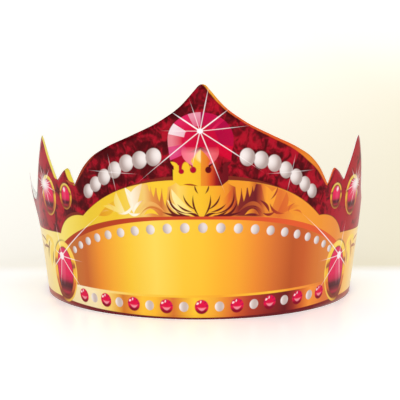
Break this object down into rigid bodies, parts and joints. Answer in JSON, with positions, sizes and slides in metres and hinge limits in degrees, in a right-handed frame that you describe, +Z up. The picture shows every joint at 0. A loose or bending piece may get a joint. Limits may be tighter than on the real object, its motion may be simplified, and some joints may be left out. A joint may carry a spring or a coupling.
{
  "type": "paper crown",
  "caption": "Party crown of one printed card sheet, rolled into a flared ring with a tall pointed front and smaller teeth, worn round the head.",
  "frame": {"origin": "on the surface that the rim stands on, under the middle of the crown's box", "axes": "+Z up from the rim to the teeth, -Y towards the tall front panel, +X to the right in a view from the front"},
  "size_m": [0.2048, 0.2072, 0.1359],
  "materials": {
    "printed_card": "gloss laminated print outside, plain uncoated card inside"
  },
  "bodies": {
    "root": {"crown_card": "printed_card"}
  },
  "joints": []
}
